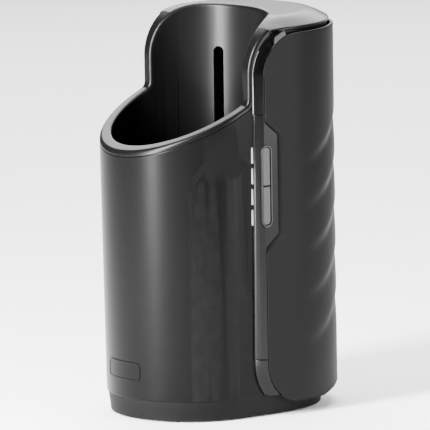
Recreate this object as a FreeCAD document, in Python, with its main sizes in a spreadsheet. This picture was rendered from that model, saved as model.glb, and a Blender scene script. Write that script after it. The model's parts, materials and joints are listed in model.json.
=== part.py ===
import FreeCAD, Part
import math
import os
import re
import Sketcher

# Thermoelectric bottle chiller: a round well for one bottle in front, a tower
# with the cooling unit behind it.  Origin: middle of the footprint, on the
# floor.  +Z is up, the well is towards -Y, the controls are on the +X side.

os.makedirs("parts", exist_ok=True)
Vector = FreeCAD.Vector
doc = FreeCAD.newDocument("bottle_chiller")

# ---- Driving sizes, millimetres and degrees --------------------------------

SIZES = {
    # Outer shell: a plan of two half circles, drafted from bottom to top
    "top_height": 253.0,
    "shell_bottom": 13.6,
    "shell_base_radius": 55.5,
    "shell_top_radius": 58.2,
    "shell_wall": 2.2,
    "tower_length": 37.0,
    # Slanted rim and the upright wings beside the well
    "rim_front_height": 171.5,
    "rim_slope": 25.0,
    "rim_corner_radius": 5.0,
    "wing_front": 5.0,
    "wing_arc_radius": 34.0,
    "lip_depth": 3.0,
    "seam_gap": 0.3,
    "deck_bevel_width": 12.4,
    "deck_bevel_drop": 6.1,
    "deck_radius": 59.0,
    "deck_thickness": 2.6,
    "deck_relief_half_width": 27.0,
    # Well
    "well_top_radius": 50.0,
    "well_base_radius": 48.0,
    "well_floor_height": 18.4,
    "liner_wall": 2.2,
    "slot_width": 7.0,
    "slot_angle": 32.0,
    "slot_bottom": 70.0,
    "slot_top": 225.5,
    "pad_thickness": 2.0,
    "pad_radius": 44.0,
    "jacket_top": 163.0,
    "foam_gap": 0.3,
    # Base tray and feet
    "base_bottom": 1.0,
    "base_low_radius": 53.0,
    "base_high_radius": 54.6,
    "base_wall": 2.6,
    "base_inset": 2.5,
    "foot_radius": 6.0,
    "foot_thickness": 2.2,
    "foot_side": 28.0,
    "foot_front": 36.0,
    "foot_rear": 62.0,
    "boss_side": 28.0,
    "boss_back": 22.0,
    "boss_screw_reach": 9.0,
    "intake_half_width": 20.0,
    "intake_pitch": 5.0,
    # Side panels and the gloss strips in front of them
    "panel_radius": 61.8,
    "panel_wall": 2.5,
    "panel_front": 14.4,
    "panel_seam": 1.7,
    "panel_bottom": 8.4,
    "panel_rear_bottom": 16.0,
    "panel_corner_radius": 26.0,
    "panel_gap": 0.4,
    "notch_depth": 9.6,
    "notch_ramp": 8.0,
    "strip_front": 8.2,
    "strip_face": 61.2,
    "strip_corner_radius": 32.0,
    "strip_bevel": 2.6,
    # Rear cover
    "cover_half_width": 14.4,
    "cover_radius": 61.4,
    "cover_wall": 2.4,
    "cover_bottom": 15.0,
    "louvre_height": 3.2,
    "louvre_pitch": 7.0,
    "louvre_count": 22.0,
    "louvre_first": 66.0,
    "louvre_half_width": 9.5,
    # Controls, on the +X strip
    "control_middle": 148.5,
    "control_back": 15.1,
    "button_width": 5.6,
    "button_length": 24.6,
    "button_gap": 0.4,
    "button_clearance": 0.3,
    "button_travel": 0.8,
    "bezel_width": 0.9,
    "light_length": 10.0,
    "light_width": 1.3,
    "light_pitch": 13.2,
    "light_back": 7.0,
    "led_side": 1.6,
    "led_depth": 0.8,
    "switch_depth": 1.9,
    "board_thickness": 1.2,
    "control_board_face": 53.8,
    # Cooling unit, front to back
    "cold_clearance": 0.8,
    "cold_depth": 10.0,
    "duct_wall": 1.5,
    "duct_half_width": 34.0,
    "duct_seal": 0.3,
    "gasket_width": 6.0,
    "module_side": 40.0,
    "module_thickness": 3.8,
    "hot_depth": 8.4,
    "sink_base": 3.0,
    "fin_thickness": 1.0,
    "fin_pitch": 3.6,
    "cold_sink_half_width": 25.0,
    "hot_sink_half_width": 30.0,
    "clamp_side": 15.0,
    "clamp_rise": 33.0,
    "fan_depth": 10.0,
    "hot_fan_side": 46.0,
    "cold_fan_side": 40.0,
    "fan_gap": 0.2,
    "fan_wall": 1.4,
    "fan_web": 1.5,
    "hub_radius": 9.5,
    "unit_middle": 170.0,
    "cold_fan_middle": 107.0,
    "cold_sink_height": 76.0,
    "hot_sink_height": 92.0,
    "shaft_radius": 1.5,
    "shaft_clearance": 0.05,
    "screw_radius": 1.4,
    # Power electronics
    "main_board_back": 60.0,
    "main_board_width": 64.0,
    "main_board_bottom": 8.0,
    "main_board_height": 48.0,
    "inlet_height": 31.0,
    "inlet_radius": 5.5,
    "inlet_pin_radius": 1.0,
    "lead_radius": 0.9,
    "can_radius": 4.0,
    "inlet_length": 14.0,
    "inlet_depth": 9.0,
    "inlet_bore_radius": 3.0,
    "rail_half_width": 2.5,
    "rail_height": 16.0,
    # Badge
    "badge_proud": 0.6,
    "badge_width": 33.0,
    "badge_height": 12.0,
    "badge_middle": 31.0,
}

sheet = doc.addObject("Spreadsheet::Sheet", "Sizes")
for row, (alias, size) in enumerate(SIZES.items(), start=1):
    sheet.set(f"A{row}", alias)
    sheet.set(f"B{row}", str(size))
    sheet.setAlias(f"B{row}", alias)
doc.recompute()

# Sizes that follow from the driving ones, each written once
DERIVED = {
    "shell_draft": "(shell_top_radius - shell_base_radius) / (top_height - shell_bottom)",
    "rim_front_radius": "shell_base_radius + shell_draft * (rim_front_height - shell_bottom)",
    "axis_back": "(rim_front_radius - tower_length - panel_radius) / 2",
    "tower_back": "axis_back + tower_length",
    "rim_rear_height": "rim_front_height + (rim_front_radius + wing_front) * tan(rim_slope * 1deg)",
    "deck_edge": "top_height - deck_bevel_drop",
    "deck_underside": "deck_edge - deck_thickness",
    "panel_top": "deck_edge - panel_seam",
    "tray_floor": "base_bottom + base_wall",
    "panel_inner": "panel_radius - panel_wall",
    "strip_back": "panel_front - panel_gap",
    "cold_front": "axis_back + well_top_radius + liner_wall + cold_clearance",
    "cold_back": "cold_front + cold_depth",
    "hot_front": "cold_back + module_thickness",
    "hot_back": "hot_front + hot_depth",
    "hot_fan_front": "hot_back + fan_gap",
    "control_half": "button_length + button_gap / 2",
    "notch_low": "control_middle - control_half - 6",
    "notch_high": "control_middle + control_half + 7.5",
    "bezel_half_width": "button_width / 2 + button_clearance + bezel_width",
    "bezel_half_height": "control_half + button_clearance + bezel_width",
    "light_first": "control_middle + 1.5 * light_pitch",
    "bezel_root": "shell_base_radius + shell_draft * (control_middle + control_half + 2)",
    "button_face": "strip_face + 0.2",
    "button_root": "bezel_root",
    "inlet_mouth": "tower_back + shell_base_radius",
    "duct_low": "slot_bottom - 6",
    "duct_high": "slot_top + 6",
    "board_front": "axis_back + main_board_back",
    "board_face": "board_front + board_thickness",
}


# Where the screws go, as pairs of formulas
BOSS_PLACES = [
    (f"{side} * boss_side", f"axis_back + {end} * boss_back") for side in (-1, 1) for end in (-1, 1)
]
CLAMP_PLACES = [
    (f"{side} * clamp_side", f"unit_middle + {end} * clamp_rise") for side in (-1, 1) for end in (-1, 1)
]
FAN_SCREW_PLACES = [
    (f"{side} * (hot_fan_side / 2 - 4)", f"unit_middle + {end} * (hot_fan_side / 2 - 4)")
    for side in (-1, 1) for end in (-1, 1)
]


def formula(text):
    """Write a formula of named sizes as a formula of spreadsheet cells."""
    def cell(match):
        word = match.group(0)
        if word in DERIVED:
            return "(" + formula(DERIVED[word]) + ")"
        return "Sizes." + word if word in SIZES else word
    return re.sub(r"[a-z]+(?:_[a-z]+)+", cell, text)


def value(text):
    """The number that a formula of named sizes gives now."""
    found = sheet.evalExpression(formula(text))
    return float(getattr(found, "Value", found))


# ---- Sketches ---------------------------------------------------------------

def make_body(label, many=False):
    made = doc.addObject("PartDesign::Body", label)
    made.Label = label
    made.AllowCompound = many
    return made


def make_sketch(owner, role, offset="0"):
    """A sketch on an origin plane of its body, moved along its normal."""
    made = owner.newObject("Sketcher::SketchObject", "sketch")
    plane = next(item for item in owner.Origin.OriginFeatures if item.Role == role)
    made.AttachmentSupport = [(plane, "")]
    made.MapMode = "FlatFace"
    made.setExpression("AttachmentOffset.Base.z", formula(offset))
    return made


def constrain(sketch, kind, *args, size=None):
    """Add a constraint, bound to a formula when it has a size."""
    if size is None:
        sketch.addConstraint(Sketcher.Constraint(kind, *args))
        return
    number = value(size)
    if kind == "Angle":
        number = math.radians(number)
        size = f"({size}) * 1deg"
    index = sketch.addConstraint(Sketcher.Constraint(kind, *args, number))
    sketch.setExpression(f"Constraints[{index}]", formula(size))


def place_point(sketch, geometry, point, across, up):
    constrain(sketch, "DistanceX", -1, 1, geometry, point, size=across)
    constrain(sketch, "DistanceY", -1, 1, geometry, point, size=up)


def draw_circle(sketch, across, up, radius):
    centre = Vector(value(across), value(up), 0)
    circle = Part.Circle(centre, Vector(0, 0, 1), value(radius))
    index = sketch.addGeometry(circle, False)
    place_point(sketch, index, 3, across, up)
    constrain(sketch, "Radius", index, size=radius)


def draw_stadium(sketch, radius, front="axis_back", rear="tower_back"):
    """Two half circles of one radius joined by straight sides."""
    reach = value(radius)
    low = value(front)
    high = value(rear)
    up = Vector(0, 0, 1)
    front_circle = Part.Circle(Vector(0, low, 0), up, reach)
    rear_circle = Part.Circle(Vector(0, high, 0), up, reach)
    pieces = [
        Part.ArcOfCircle(front_circle, math.pi, 2 * math.pi),
        Part.LineSegment(Vector(reach, low, 0), Vector(reach, high, 0)),
        Part.ArcOfCircle(rear_circle, 0, math.pi),
        Part.LineSegment(Vector(-reach, high, 0), Vector(-reach, low, 0)),
    ]
    first = sketch.addGeometry(pieces, False)[0]
    for step in range(4):
        constrain(sketch, "Tangent", first + step, 2, first + (step + 1) % 4, 1)
    constrain(sketch, "Radius", first, size=radius)
    constrain(sketch, "PointOnObject", first, 3, -2)
    constrain(sketch, "PointOnObject", first + 2, 3, -2)
    constrain(sketch, "Vertical", first + 1)
    constrain(sketch, "DistanceY", -1, 1, first, 3, size=front)
    constrain(sketch, "DistanceY", -1, 1, first + 2, 3, size=rear)


def draw_outline(sketch, corners):
    """A closed outline through corners (across, up, radius); a radius of
    None leaves the corner sharp."""
    count = len(corners)
    spots = [Vector(value(across), value(up), 0) for across, up, _ in corners]
    cuts = []
    for index, (_, _, radius) in enumerate(corners):
        here = spots[index]
        before = (spots[index - 1] - here).normalize()
        after = (spots[(index + 1) % count] - here).normalize()
        if radius is None:
            cuts.append((here, here, None))
            continue
        half = before.getAngle(after) / 2
        reach = value(radius) / math.tan(half)
        middle = here + (before + after).normalize() * (value(radius) / math.sin(half))
        cuts.append((here + before * reach, here + after * reach, middle))
    lines = []
    for index in range(count):
        start = cuts[index][1]
        end = cuts[(index + 1) % count][0]
        lines.append(sketch.addGeometry(Part.LineSegment(start, end), False))
    for index, (across, up, radius) in enumerate(corners):
        into = lines[index - 1]
        out = lines[index]
        if radius is None:
            constrain(sketch, "Coincident", into, 2, out, 1)
            place_point(sketch, out, 1, across, up)
            continue
        start, end, middle = cuts[index]
        circle = Part.Circle(middle, Vector(0, 0, 1), value(radius))
        first = circle.parameter(start)
        last = circle.parameter(end)
        turn = (last - first) % (2 * math.pi)
        flip = turn > math.pi
        arc = Part.ArcOfCircle(circle, last, first) if flip else Part.ArcOfCircle(circle, first, last)
        round_corner = sketch.addGeometry(arc, False)
        constrain(sketch, "Tangent", into, 2, round_corner, 2 if flip else 1)
        constrain(sketch, "Tangent", round_corner, 1 if flip else 2, out, 1)
        constrain(sketch, "Radius", round_corner, size=radius)
        mark = sketch.addGeometry(Part.Point(spots[index]), True)
        place_point(sketch, mark, 1, across, up)
        constrain(sketch, "PointOnObject", mark, 1, into)
        constrain(sketch, "PointOnObject", mark, 1, out)


def draw_box(sketch, left, right, low, high, radius=None):
    corners = [(left, low), (right, low), (right, high), (left, high)]
    draw_outline(sketch, [(across, up, radius) for across, up in corners])


def draw_pill(sketch, across, up, half_width, half_height):
    """An upright slot outline with round ends."""
    draw_box(
        sketch,
        f"{across} - ({half_width})",
        f"{across} + ({half_width})",
        f"{up} - ({half_height})",
        f"{up} + ({half_height})",
        f"({half_width}) * 0.999",
    )


# ---- Features ---------------------------------------------------------------

def pad(owner, sketch, length, reverse=False, both=False):
    made = owner.newObject("PartDesign::Pad", "pad")
    made.Profile = sketch
    made.setExpression("Length", formula(length))
    made.Reversed = reverse
    made.Midplane = both
    return made


def cut(owner, sketch, length, reverse=False, both=False):
    """A pocket that must take something away."""
    doc.recompute()
    before = owner.Shape.Volume
    made = owner.newObject("PartDesign::Pocket", "pocket")
    made.Profile = sketch
    made.setExpression("Length", formula(length))
    made.Reversed = reverse
    made.Midplane = both
    doc.recompute()
    if owner.Shape.Volume > before - 0.01:
        raise RuntimeError(f"{owner.Label}: a pocket cuts nothing")
    return made


def loft(owner, low, high, low_radius, high_radius, rear_inset="0", remove=False):
    """A drafted stadium between two heights, added or taken away."""
    ends = []
    for height, radius in ((low, low_radius), (high, high_radius)):
        section = make_sketch(owner, "XY_Plane", height)
        draw_stadium(section, radius, rear=f"tower_back - {rear_inset}")
        ends.append(section)
    kind = "SubtractiveLoft" if remove else "AdditiveLoft"
    made = owner.newObject("PartDesign::" + kind, "loft")
    made.Profile = ends[0]
    made.Sections = [ends[1]]
    made.Ruled = True
    return made


def spin(owner, corners, remove=False, angle=360, reverse=False, back="axis_back"):
    """Turn an outline of (radius, height) corners about an upright axis."""
    section = make_sketch(owner, "XZ_Plane", f"-({back})")
    draw_outline(section, [(across, up, None) for across, up in corners])
    kind = "Groove" if remove else "Revolution"
    made = owner.newObject("PartDesign::" + kind, "turn")
    made.Profile = section
    made.ReferenceAxis = (section, ["V_Axis"])
    made.Angle = angle
    made.Reversed = reverse
    return made


def shell_form(owner, clearance, remove=False):
    """The outer form of the shell, set off by a clearance."""
    rise = "shell_draft * 20"
    return loft(
        owner,
        "shell_bottom - 20",
        "top_height + 20",
        f"shell_base_radius - {rise} + {clearance}",
        f"shell_top_radius + {rise} + {clearance}",
        remove=remove,
    )


def rim_outline(sketch, drop, deck, below=False):
    """Side outline of all that lies above the rim, or below it.  The rim is
    set `drop` down and back, and its level stretch is at `deck`."""
    far = "panel_radius * 2"
    fall = f"({drop}) / cos(rim_slope * 1deg)"
    wing = f"axis_back + wing_front + {drop}"
    rise = "tan(rim_slope * 1deg)"
    limit = "-top_height" if below else "top_height * 1.3"
    draw_outline(sketch, [
        (f"axis_back - {far}", f"rim_rear_height - ({far} + wing_front) * {rise} - {fall}", None),
        (wing, f"rim_rear_height - {fall} + ({drop}) * {rise}", f"rim_corner_radius + {drop}"),
        (wing, deck, f"wing_arc_radius - ({drop})"),
        (f"tower_back + {far}", deck, None),
        (f"tower_back + {far}", limit, None),
        (f"axis_back - {far}", limit, None),
    ])


def panel_outline(sketch, gap="0", notch=True):
    """Side outline of a panel, set off outwards by a gap; the notch leaves
    room for the controls."""
    front = f"axis_back + panel_front - {gap}"
    inner = f"{front} + notch_depth"
    rear = "tower_back + panel_radius + 1"
    soft = "notch_ramp / 4"
    steps = [
        (front, "notch_low - notch_ramp", soft),
        (inner, "notch_low", soft),
        (inner, "notch_high", soft),
        (front, "notch_high + notch_ramp", soft),
    ]
    draw_outline(sketch, [
        (front, f"panel_bottom - {gap}", f"panel_corner_radius + {gap}"),
        *(steps if notch else []),
        (front, f"panel_top + {gap}", f"panel_corner_radius + {gap}"),
        (rear, f"panel_top + {gap}", None),
        (rear, f"panel_rear_bottom - {gap}", None),
        ("tower_back + panel_radius * 0.4", f"panel_bottom - {gap}", "panel_corner_radius * 3"),
    ])


def box_body(label, ranges):
    """A block between three pairs of formulas: x, y and z."""
    made = make_body(label)
    add_block(made, ranges)
    return made


def add_block(owner, ranges):
    (left, right), (front, back), (low, high) = ranges
    section = make_sketch(owner, "XY_Plane", low)
    draw_box(section, left, right, front, back)
    return pad(owner, section, f"({high}) - ({low})")


def cut_block(owner, ranges):
    (left, right), (front, back), (low, high) = ranges
    section = make_sketch(owner, "XY_Plane", low)
    draw_box(section, left, right, front, back)
    return cut(owner, section, f"({high}) - ({low})", reverse=True)


def shell_radius(height):
    """Radius of the drafted shell at a height."""
    return f"shell_base_radius + shell_draft * ({height} - shell_bottom)"


def liner_radius(height):
    """Outer radius of the drafted well liner at a height."""
    draft = "(well_top_radius - well_base_radius) / (top_height - well_floor_height)"
    return f"well_base_radius + liner_wall + {draft} * ({height} - well_floor_height)"


# ---- Shell, liner and base --------------------------------------------------

def make_shell():
    shell = make_body("outer_shell")
    loft(shell, "shell_bottom", "deck_edge", "shell_base_radius", shell_radius("deck_edge"))
    above = make_sketch(shell, "YZ_Plane")
    rim_outline(above, "lip_depth + seam_gap", "deck_underside - seam_gap")
    cut(shell, above, "panel_radius * 4", both=True)
    loft(shell, "shell_bottom", "deck_edge", "shell_base_radius - shell_wall",
         shell_radius("deck_edge") + " - shell_wall", remove=True)
    window = make_sketch(shell, "YZ_Plane", "panel_radius")
    draw_pill(window, "axis_back + control_back", "control_middle",
              "bezel_half_width - 0.5", "bezel_half_height - 0.5")
    cut(shell, window, "panel_radius / 3")
    lights = make_sketch(shell, "YZ_Plane", "panel_radius")
    for step in range(4):
        draw_pill(lights, "axis_back + light_back", f"light_first - light_pitch * {step}",
                  "light_width / 2 + 0.1", "light_length / 2 + 0.1")
    cut(shell, lights, "panel_radius / 3")
    exhaust = make_sketch(shell, "XZ_Plane", "-(tower_back + shell_base_radius / 2)")
    draw_box(exhaust, "-louvre_half_width", "louvre_half_width", "louvre_first",
             "louvre_first + louvre_pitch * louvre_count")
    cut(shell, exhaust, "panel_radius")
    inlet = make_sketch(shell, "XZ_Plane", "-(tower_back + shell_base_radius / 2)")
    draw_circle(inlet, "0", "inlet_height", "inlet_radius + 0.1")
    cut(shell, inlet, "panel_radius")


def make_liner():
    """Well, rim and top deck in one moulding."""
    liner = make_body("well_liner")
    slab_low = "rim_front_height - 20"
    loft(liner, slab_low, "deck_edge", shell_radius(slab_low), shell_radius("deck_edge"))
    below = make_sketch(liner, "YZ_Plane")
    rim_outline(below, "lip_depth", "deck_underside", below=True)
    cut(liner, below, "panel_radius * 4", both=True)
    rim = make_sketch(liner, "XY_Plane", "deck_underside")
    draw_stadium(rim, "deck_radius")
    pad(liner, rim, "deck_edge - deck_underside")
    loft(liner, "deck_edge", "top_height", "deck_radius", "deck_radius - deck_bevel_width")
    floor_low = "well_floor_height - liner_wall"
    spin(liner, [
        ("0", floor_low),
        (liner_radius(floor_low), floor_low),
        (liner_radius("deck_edge"), "deck_edge"),
        ("0", "deck_edge"),
    ])
    above = make_sketch(liner, "YZ_Plane")
    rim_outline(above, "0", "top_height")
    cut(liner, above, "panel_radius * 4", both=True)
    spin(liner, [
        ("0", "well_floor_height"),
        ("well_base_radius", "well_floor_height"),
        ("well_top_radius", "top_height"),
        ("well_top_radius", "top_height * 1.1"),
        ("0", "top_height * 1.1"),
    ], remove=True)
    slot = liner.newObject("Sketcher::SketchObject", "slot")
    plane = next(item for item in liner.Origin.OriginFeatures if item.Role == "XZ_Plane")
    slot.AttachmentSupport = [(plane, "")]
    slot.MapMode = "FlatFace"
    slot.AttachmentOffset = FreeCAD.Placement(Vector(), FreeCAD.Rotation(Vector(0, 1, 0), 1))
    slot.setExpression("AttachmentOffset.Base.z", formula("-(axis_back)"))
    slot.setExpression("AttachmentOffset.Rotation.Angle", formula("slot_angle * 1deg"))
    draw_pill(slot, "0", "(slot_bottom + slot_top) / 2", "slot_width / 2",
              "(slot_top - slot_bottom) / 2")
    one_slot = cut(liner, slot, "deck_radius")
    pair = liner.newObject("PartDesign::Mirrored", "slot_pair")
    pair.Originals = [one_slot]
    side = next(item for item in liner.Origin.OriginFeatures if item.Role == "YZ_Plane")
    pair.MirrorPlane = (side, [""])
    liner.Tip = pair
    bosses = make_sketch(liner, "XY_Plane", "tray_floor")
    for across, back in BOSS_PLACES:
        draw_circle(bosses, across, back, "screw_radius * 2.8")
    pad(liner, bosses, floor_low + " - tray_floor")
    pilots = make_sketch(liner, "XY_Plane", "tray_floor")
    for across, back in BOSS_PLACES:
        draw_circle(pilots, across, back, "screw_radius")
    cut(liner, pilots, "boss_screw_reach", reverse=True)
    cut_block(liner, [
        ("-deck_relief_half_width", "deck_relief_half_width"),
        ("axis_back + well_top_radius + 6", "tower_back + deck_relief_half_width"),
        ("deck_underside", "top_height - deck_thickness"),
    ])


def make_base():
    tray = make_body("base_tray")
    loft(tray, "base_bottom", "shell_bottom", "base_low_radius", "base_high_radius", "base_inset")
    inside = make_sketch(tray, "XY_Plane", "tray_floor")
    draw_stadium(inside, "base_high_radius - base_wall", rear="tower_back - base_inset")
    cut(tray, inside, "shell_bottom", reverse=True)
    for side in (-1, 1):
        edge = f"{side} * main_board_width / 2"
        post = [f"{edge} - rail_half_width", f"{edge} + rail_half_width"]
        low_to_high = ("tray_floor - 0.5", "main_board_bottom + rail_height")
        add_block(tray, [post, ("board_front - 2", "board_face + 2"), low_to_high])
    cut_block(tray, [
        ("-main_board_width / 2 - 0.1", "main_board_width / 2 + 0.1"),
        ("board_front - 0.05", "board_face + 0.05"),
        ("main_board_bottom", "main_board_bottom + rail_height + 1"),
    ])
    intake = make_sketch(tray, "XY_Plane", "base_bottom")
    for step in range(6):
        low = f"axis_back + well_top_radius + 4 + {step} * intake_pitch"
        draw_box(intake, "-intake_half_width", "intake_half_width", low, low + " + intake_pitch / 2")
    cut(tray, intake, "base_wall", reverse=True)
    recesses = make_sketch(tray, "XY_Plane", "base_bottom")
    for across, back in foot_places():
        draw_circle(recesses, across, back, "foot_radius")
    cut(tray, recesses, "foot_thickness - base_bottom", reverse=True)
    holes = make_sketch(tray, "XY_Plane", "base_bottom")
    heads = make_sketch(tray, "XY_Plane", "base_bottom")
    for across, back in BOSS_PLACES:
        draw_circle(holes, across, back, "screw_radius + 0.2")
        draw_circle(heads, across, back, "screw_radius * 2.1")
    cut(tray, holes, "base_wall", reverse=True)
    cut(tray, heads, "base_wall / 2", reverse=True)

    feet = make_body("feet", many=True)
    discs = make_sketch(feet, "XY_Plane")
    for across, back in foot_places():
        draw_circle(discs, across, back, "foot_radius")
    pad(feet, discs, "foot_thickness")

    screws = make_body("base_screws", many=True)
    shanks = make_sketch(screws, "XY_Plane", "base_bottom + base_wall / 2")
    caps = make_sketch(screws, "XY_Plane", "base_bottom + 0.1")
    for across, back in BOSS_PLACES:
        draw_circle(shanks, across, back, "screw_radius")
        draw_circle(caps, across, back, "screw_radius * 1.9")
    pad(screws, shanks, "base_wall / 2 + boss_screw_reach - 0.5")
    pad(screws, caps, "base_wall / 2 - 0.1")


def foot_places():
    rows = ("axis_back - foot_front", "axis_back + foot_rear")
    return [(f"{side} * foot_side", back) for side in (-1, 1) for back in rows]


def make_well_fittings():
    floor_pad = make_body("floor_pad")
    spin(floor_pad, [
        ("0", "well_floor_height"),
        ("pad_radius", "well_floor_height"),
        ("pad_radius", "well_floor_height + pad_thickness / 2"),
        ("pad_radius - pad_thickness / 2", "well_floor_height + pad_thickness"),
        ("0", "well_floor_height + pad_thickness"),
    ])
    rings = make_sketch(floor_pad, "XY_Plane", "well_floor_height + pad_thickness / 2")
    for share in (0.25, 0.3, 0.5, 0.55, 0.75, 0.8):
        draw_circle(rings, "0", "axis_back", f"pad_radius * {share}")
    cut(floor_pad, rings, "pad_thickness", reverse=True)

    jacket = make_body("insulation_jacket")
    low = "well_floor_height"
    inner = "foam_gap"
    outer = "-shell_wall - foam_gap"
    spin(jacket, [
        (f"{liner_radius(low)} + {inner}", low),
        (f"{shell_radius(low)} {outer}", low),
        (f"{shell_radius('jacket_top')} {outer}", "jacket_top"),
        (f"{liner_radius('jacket_top')} + {inner}", "jacket_top"),
    ], angle=180, reverse=True)


# ---- Panels, strips and rear cover ------------------------------------------

def make_panel(label, side, notch):
    panel = make_body(label)
    low = "panel_bottom - 1"
    ring = make_sketch(panel, "XY_Plane", low)
    draw_stadium(ring, "panel_radius")
    draw_stadium(ring, "panel_inner")
    pad(panel, ring, "panel_top - panel_bottom + 2")
    edges = ["-panel_radius * 2", "cover_half_width + panel_gap"]
    if side < 0:
        edges = [f"-({edges[1]})", f"-({edges[0]})"]
    all_back = ("axis_back - panel_radius * 2", "tower_back + panel_radius * 2")
    cut_block(panel, [edges, all_back, (low, "panel_top + 2")])
    frame = make_sketch(panel, "YZ_Plane")
    draw_box(frame, "axis_back - top_height", "tower_back + top_height", "-top_height",
             "top_height * 2")
    panel_outline(frame, notch=notch)
    cut(panel, frame, "panel_radius * 4", both=True)
    for height in ("panel_bottom * 6", "control_middle", "panel_top - panel_corner_radius"):
        boss = make_sketch(panel, "YZ_Plane", f"{side} * (panel_inner + 0.5)")
        draw_circle(boss, "tower_back", height, "panel_wall")
        reach = f"panel_inner + 0.4 - ({shell_radius(height)})"
        pad(panel, boss, reach, reverse=side > 0)


def make_strip(label, side, notch):
    strip = make_body(label)
    start = f"{side} * (shell_base_radius - 1)"
    face = make_sketch(strip, "YZ_Plane", start)
    front = "axis_back + strip_front"
    rear = "axis_back + strip_front + strip_corner_radius + 1"
    draw_outline(face, [
        (front, "shell_bottom + panel_gap", None),
        (front, "panel_top + strip_back - strip_front - panel_gap", "strip_corner_radius"),
        (rear, "panel_top + strip_back - strip_front - panel_gap", None),
        (rear, "shell_bottom + panel_gap", None),
    ])
    pad(strip, face, "strip_face - shell_base_radius + 1", reverse=side < 0)
    doc.recompute()
    rim = []
    for index, edge in enumerate(strip.Shape.Edges, start=1):
        box = edge.BoundBox
        outside = box.XMin if side > 0 else -box.XMax
        forward = box.YMin < value(front) + 0.01 and box.YLength < value("strip_corner_radius") + 0.1
        if outside > value("strip_face") - 0.01 and forward and box.ZMax > value("shell_bottom") + 1:
            rim.append(f"Edge{index}")
    plate = strip.Tip
    bevel = strip.newObject("PartDesign::Chamfer", "bevel")
    bevel.Base = (plate, rim)
    bevel.setExpression("Size", formula("strip_bevel"))
    doc.recompute()
    hole = make_sketch(strip, "YZ_Plane")
    panel_outline(hole, "panel_gap", notch)
    cut(strip, hole, "panel_radius * 4", both=True)
    top = make_sketch(strip, "YZ_Plane")
    draw_box(top, "axis_back - top_height", "tower_back + top_height",
             "deck_underside - panel_gap", "top_height * 2")
    cut(strip, top, "panel_radius * 4", both=True)
    shell_form(strip, "0.15", remove=True)
    if notch:
        pill = make_sketch(strip, "YZ_Plane", "panel_radius * 2")
        draw_pill(pill, "axis_back + control_back", "control_middle", "bezel_half_width",
                  "bezel_half_height")
        cut(strip, pill, "panel_radius * 2")


def make_rear_cover():
    cover = make_body("rear_cover")
    ring = make_sketch(cover, "XY_Plane", "cover_bottom")
    draw_stadium(ring, "cover_radius")
    draw_stadium(ring, "cover_radius - cover_wall")
    pad(cover, ring, "deck_underside - panel_gap - cover_bottom")
    far = "panel_radius * 2"
    heights = ("cover_bottom", "deck_edge")
    everywhere = (f"axis_back - {far}", f"tower_back + {far}")
    cut_block(cover, [(f"-{far}", far), (f"axis_back - {far}", "tower_back"), heights])
    cut_block(cover, [(f"-{far}", "-(cover_half_width)"), everywhere, heights])
    cut_block(cover, [("cover_half_width", far), everywhere, heights])
    louvre = make_sketch(cover, "XZ_Plane", "-(tower_back)")
    low = "louvre_first + louvre_pitch / 4"
    draw_box(louvre, "-louvre_half_width", "louvre_half_width", low, low + " + louvre_height",
             "louvre_height * 0.45")
    one = cut(cover, louvre, far)
    row = cover.newObject("PartDesign::LinearPattern", "louvres")
    row.Originals = [one]
    row.Direction = (louvre, ["V_Axis"])
    row.setExpression("Length", formula("louvre_pitch * (louvre_count - 1)"))
    row.Occurrences = round(value("louvre_count"))
    cover.Tip = row
    inlet = make_sketch(cover, "XZ_Plane", "-(tower_back)")
    draw_circle(inlet, "0", "inlet_height", "inlet_radius + 1")
    cut(cover, inlet, far)


def make_badge():
    """A blank raised plate that follows the front of the shell."""
    badge = make_body("badge_plate")
    face = make_sketch(badge, "XZ_Plane", "-(axis_back - shell_base_radius / 2)")
    draw_box(face, "-badge_width / 2", "badge_width / 2", "badge_middle - badge_height / 2",
             "badge_middle + badge_height / 2", "badge_height / 4")
    pad(badge, face, "shell_base_radius")
    shell_form(badge, "0.02", remove=True)
    low = "shell_bottom"
    high = "badge_middle * 2"
    proud = "badge_proud"
    spin(badge, [
        (f"{shell_radius(low)} + {proud}", low),
        ("panel_radius * 2", low),
        ("panel_radius * 2", high),
        (f"{shell_radius(high)} + {proud}", high),
    ], remove=True)


# ---- Controls ---------------------------------------------------------------

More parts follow.
